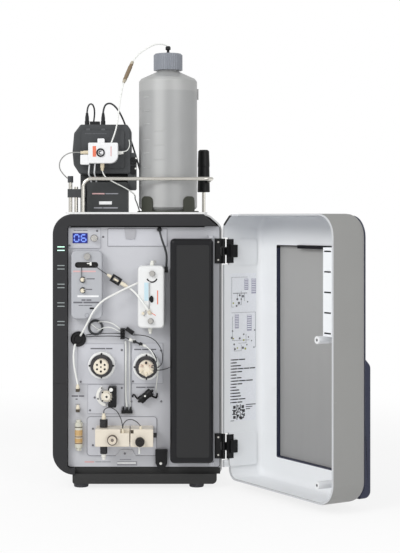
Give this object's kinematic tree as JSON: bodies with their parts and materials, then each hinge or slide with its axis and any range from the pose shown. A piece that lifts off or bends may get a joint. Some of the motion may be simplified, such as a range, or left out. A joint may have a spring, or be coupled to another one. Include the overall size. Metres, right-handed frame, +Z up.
{
  "type": "ion chromatograph",
  "caption": "Benchtop ion chromatograph with its front door swung open: pump, valves and modules on a silver fascia, a dark column cover, an eluent bottle and rail on top.",
  "frame": {"origin": "on the bench, under the middle of the cabinet's width and depth", "axes": "+X to the right as seen from the front, +Y to the back, +Z up"},
  "size_m": [0.6295, 0.7496, 0.9416],
  "materials": {
    "silver_fascia": "fine satin silver paint",
    "casing_light": "satin light gray paint",
    "charcoal": "fine matte charcoal",
    "base_dark": "matte dark gray",
    "foot_rubber": "matte rubber",
    "white_cover": "satin white paint",
    "rear_metal": "satin gray paint",
    "door_light": "satin light gray moulding",
    "door_dark": "satin dark blue gray",
    "guide_white": "clear white moulding",
    "seal_black": "soft black",
    "steel": "satin steel",
    "silver_plate": "fine brushed aluminium",
    "module_gray": "satin silver gray",
    "cover_black": "satin near black",
    "black_plastic": "matte black",
    "cream": "satin cream polymer",
    "white_plastic": "satin white",
    "clear_amber": "clear with amber bands",
    "line_white": "translucent white tubing",
    "line_dark": "satin dark cable",
    "sleeve_tan": "matte tan",
    "bottle_clear": "milky translucent polymer",
    "liquid": "clear water-like liquid",
    "cap_gray": "satin blue gray",
    "olive_gray": "matte dark olive gray",
    "unit_gray": "satin mid gray",
    "housing_dark": "satin dark gray"
  },
  "bodies": {
    "cabinet": {"base_plinth": "base_dark", "bottle_holder": "olive_gray", "bottle_rail": "steel", "cabinet_casing": "casing_light", "cable_plugs": "black_plastic", "column_oven": "silver_plate", "columns": "steel", "degasser_box": "unit_gray", "detector_module": "module_gray", "drop_cable": "line_dark", "eluent_bottle": "bottle_clear", "eluent_line_lower": "line_white", "eluent_line_upper": "line_white", "eluent_liquid": "liquid", "fascia_panel": "silver_fascia", "fascia_plates": "silver_plate", "feet": "foot_rubber", "front_bezel": "charcoal", "generator_housing": "housing_dark", "hinge_fixed_leaves": "black_plastic", "inline_filter": "clear_amber", "inner_units": "unit_gray", "line_sleeve": "sleeve_tan", "loop_cable": "line_dark", "mixer": "black_plastic", "panel_capillaries": "steel", "peek_fittings": "cream", "port_line": "line_white", "post_canister": "black_plastic", "pump_heads": "cream", "rear_panel": "rear_metal", "steel_fittings": "steel", "suppressor_body": "white_plastic", "suppressor_cable": "line_dark", "suppressor_line": "line_white", "top_cover": "white_cover", "trap_block": "white_plastic", "trap_drain_line": "line_white", "trap_fittings": "cream", "trap_side_line": "line_white", "tube_guides": "black_plastic", "union_line": "line_white", "valve_collars": "white_plastic", "valve_stators": "cream", "wash_pump_housing": "black_plastic"},
    "door": {"door_shell": "door_light", "door_front_panel": "door_dark", "door_jamb": "door_dark", "door_light_guide": "guide_white", "door_seal": "seal_black", "door_hinge_leaves": "black_plastic"},
    "column_cover": {"column_cover": "cover_black"},
    "display_knob": {"display_knob": "steel"},
    "waste_knob": {"waste_knob": "steel"},
    "priming_knob": {"priming_knob": "black_plastic"},
    "wash_rotor": {"wash_rotor": "cream"},
    "bottle_cap": {"bottle_cap": "cap_gray", "cap_fitting": "black_plastic"},
    "power_rocker": {"power_rocker": "black_plastic"},
    "fan_rotor": {"fan_rotor": "black_plastic"}
  },
  "joints": [
    {"name": "door_hinge", "type": "hinge", "parent": "cabinet", "child": "door", "pos_m": [0.179, -0.219, 0.29], "axis": [0, 0, 1], "range_deg": [-121, 9]},
    {"name": "cover_hinge", "type": "hinge", "parent": "cabinet", "child": "column_cover", "pos_m": [0.1525, -0.24, 0.288], "axis": [0, 0, 1], "range_deg": [0, 105]},
    {"name": "display_knob_turn", "type": "hinge", "parent": "cabinet", "child": "display_knob", "pos_m": [-0.09, -0.222, 0.5197], "axis": [0, -1, 0], "continuous": true},
    {"name": "waste_knob_turn", "type": "hinge", "parent": "cabinet", "child": "waste_knob", "pos_m": [-0.0504, -0.274, 0.1077], "axis": [0, -1, 0], "range_deg": [-90, 180]},
    {"name": "priming_knob_turn", "type": "hinge", "parent": "cabinet", "child": "priming_knob", "pos_m": [0.006, -0.276, 0.104], "axis": [0, -1, 0], "range_deg": [-90, 180]},
    {"name": "wash_rotor_turn", "type": "hinge", "parent": "cabinet", "child": "wash_rotor", "pos_m": [-0.0635, -0.228, 0.1917], "axis": [0, -1, 0], "continuous": true},
    {"name": "cap_turn", "type": "hinge", "parent": "cabinet", "child": "bottle_cap", "pos_m": [0.064, -0.097, 0.9], "axis": [0, 0, 1], "range_deg": [0, 270]},
    {"name": "power_rocker_tilt", "type": "hinge", "parent": "cabinet", "child": "power_rocker", "pos_m": [0.11, 0.226, 0.14], "axis": [1, 0, 0], "range_deg": [-8, 8]},
    {"name": "fan_turn", "type": "hinge", "parent": "cabinet", "child": "fan_rotor", "pos_m": [-0.07, 0.214, 0.4], "axis": [0, 1, 0], "continuous": true}
  ]
}
